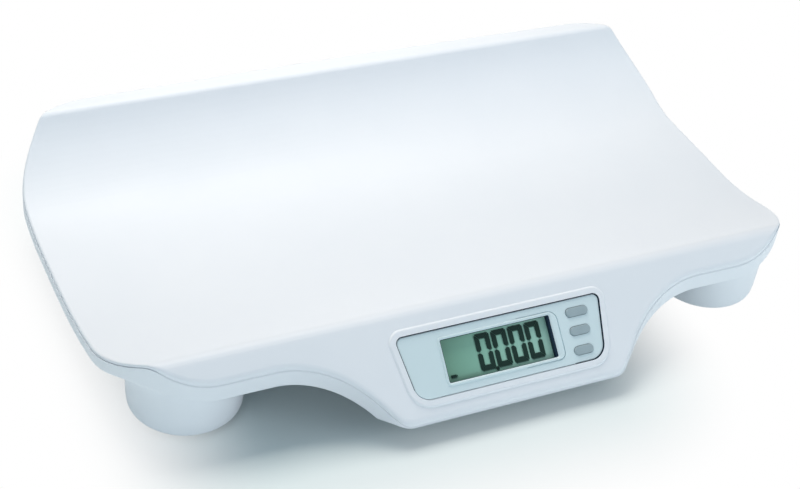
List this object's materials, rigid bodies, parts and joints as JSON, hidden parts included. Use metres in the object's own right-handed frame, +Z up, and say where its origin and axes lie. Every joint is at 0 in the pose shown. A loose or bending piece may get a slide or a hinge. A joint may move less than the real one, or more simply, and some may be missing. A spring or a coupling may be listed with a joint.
{
  "type": "baby weighing scale",
  "caption": "Digital baby weighing scale: a curved moulded trough on round feet with load cells, a sloping display panel with keys and a battery bay below.",
  "frame": {"origin": "on the floor under the middle of the outline", "axes": "+X along the trough to the right as seen from the display, +Y to the high back wall, +Z up"},
  "size_m": [0.55, 0.338, 0.0925],
  "materials": {
    "white_abs": "satin white moulding",
    "panel_paint": "satin blue-grey paint",
    "lcd_green": "grey-green display",
    "key_grey": "satin grey-green",
    "dark_plastic": "moulded black",
    "board_green": "solder mask",
    "zinc_steel": "zinc plated",
    "grey_plastic": "moulded grey",
    "dark_rubber": "matte rubber",
    "cell_jacket": "printed film",
    "wire_black": "wire jacket",
    "wire_red": "wire jacket"
  },
  "bodies": {
    "scale_body": {"base_shell": "white_abs", "battery_1": "cell_jacket", "battery_2": "cell_jacket", "battery_3": "cell_jacket", "battery_4": "cell_jacket", "battery_contact_left_inner": "zinc_steel", "battery_contact_left_outer": "zinc_steel", "battery_contact_right_inner": "zinc_steel", "battery_contact_right_outer": "zinc_steel", "battery_lead_black": "wire_black", "battery_lead_red": "wire_red", "board_screw_1": "zinc_steel", "board_screw_2": "zinc_steel", "board_screw_3": "zinc_steel", "board_screw_4": "zinc_steel", "case_screw_1": "zinc_steel", "case_screw_2": "zinc_steel", "case_screw_3": "zinc_steel", "case_screw_4": "zinc_steel", "control_panel": "panel_paint", "foot_disc_back_left": "grey_plastic", "foot_disc_back_right": "grey_plastic", "foot_disc_front_left": "grey_plastic", "foot_disc_front_right": "grey_plastic", "foot_housing_back_left": "white_abs", "foot_housing_back_right": "white_abs", "foot_housing_front_left": "white_abs", "foot_housing_front_right": "white_abs", "foot_pad_back_left": "dark_rubber", "foot_pad_back_right": "dark_rubber", "foot_pad_front_left": "dark_rubber", "foot_pad_front_right": "dark_rubber", "foot_screw_back_left": "zinc_steel", "foot_screw_back_right": "zinc_steel", "foot_screw_front_left": "zinc_steel", "foot_screw_front_right": "zinc_steel", "key_switch_bottom": "dark_plastic", "key_switch_middle": "dark_plastic", "key_switch_top": "dark_plastic", "lcd_glass": "lcd_green", "lcd_holder": "dark_plastic", "load_cell_back_left": "zinc_steel", "load_cell_back_right": "zinc_steel", "load_cell_front_left": "zinc_steel", "load_cell_front_right": "zinc_steel", "load_cell_lead_back_left": "wire_black", "load_cell_lead_back_right": "wire_black", "load_cell_lead_front_left": "wire_black", "load_cell_lead_front_right": "wire_black", "main_board": "board_green", "tray_shell": "white_abs", "zebra_strip_lower": "dark_rubber", "zebra_strip_upper": "dark_rubber"},
    "key_top": {"button_top": "key_grey", "switch_plunger_top": "key_grey"},
    "key_middle": {"button_middle": "key_grey", "switch_plunger_middle": "key_grey"},
    "key_bottom": {"button_bottom": "key_grey", "switch_plunger_bottom": "key_grey"},
    "door": {"battery_door": "white_abs"}
  },
  "joints": [
    {"name": "button_top_press", "type": "slide", "parent": "scale_body", "child": "key_top", "axis": [0, 0.6756, -0.7373], "range_m": [0, 0.0008], "stiffness_N_per_m": 1200},
    {"name": "button_middle_press", "type": "slide", "parent": "scale_body", "child": "key_middle", "axis": [0, 0.6756, -0.7373], "range_m": [0, 0.0008], "stiffness_N_per_m": 1200},
    {"name": "button_bottom_press", "type": "slide", "parent": "scale_body", "child": "key_bottom", "axis": [0, 0.6756, -0.7373], "range_m": [0, 0.0008], "stiffness_N_per_m": 1200},
    {"name": "battery_door_slide", "type": "slide", "parent": "scale_body", "child": "door", "axis": [0, 1, 0], "range_m": [0, 0.045]}
  ]
}
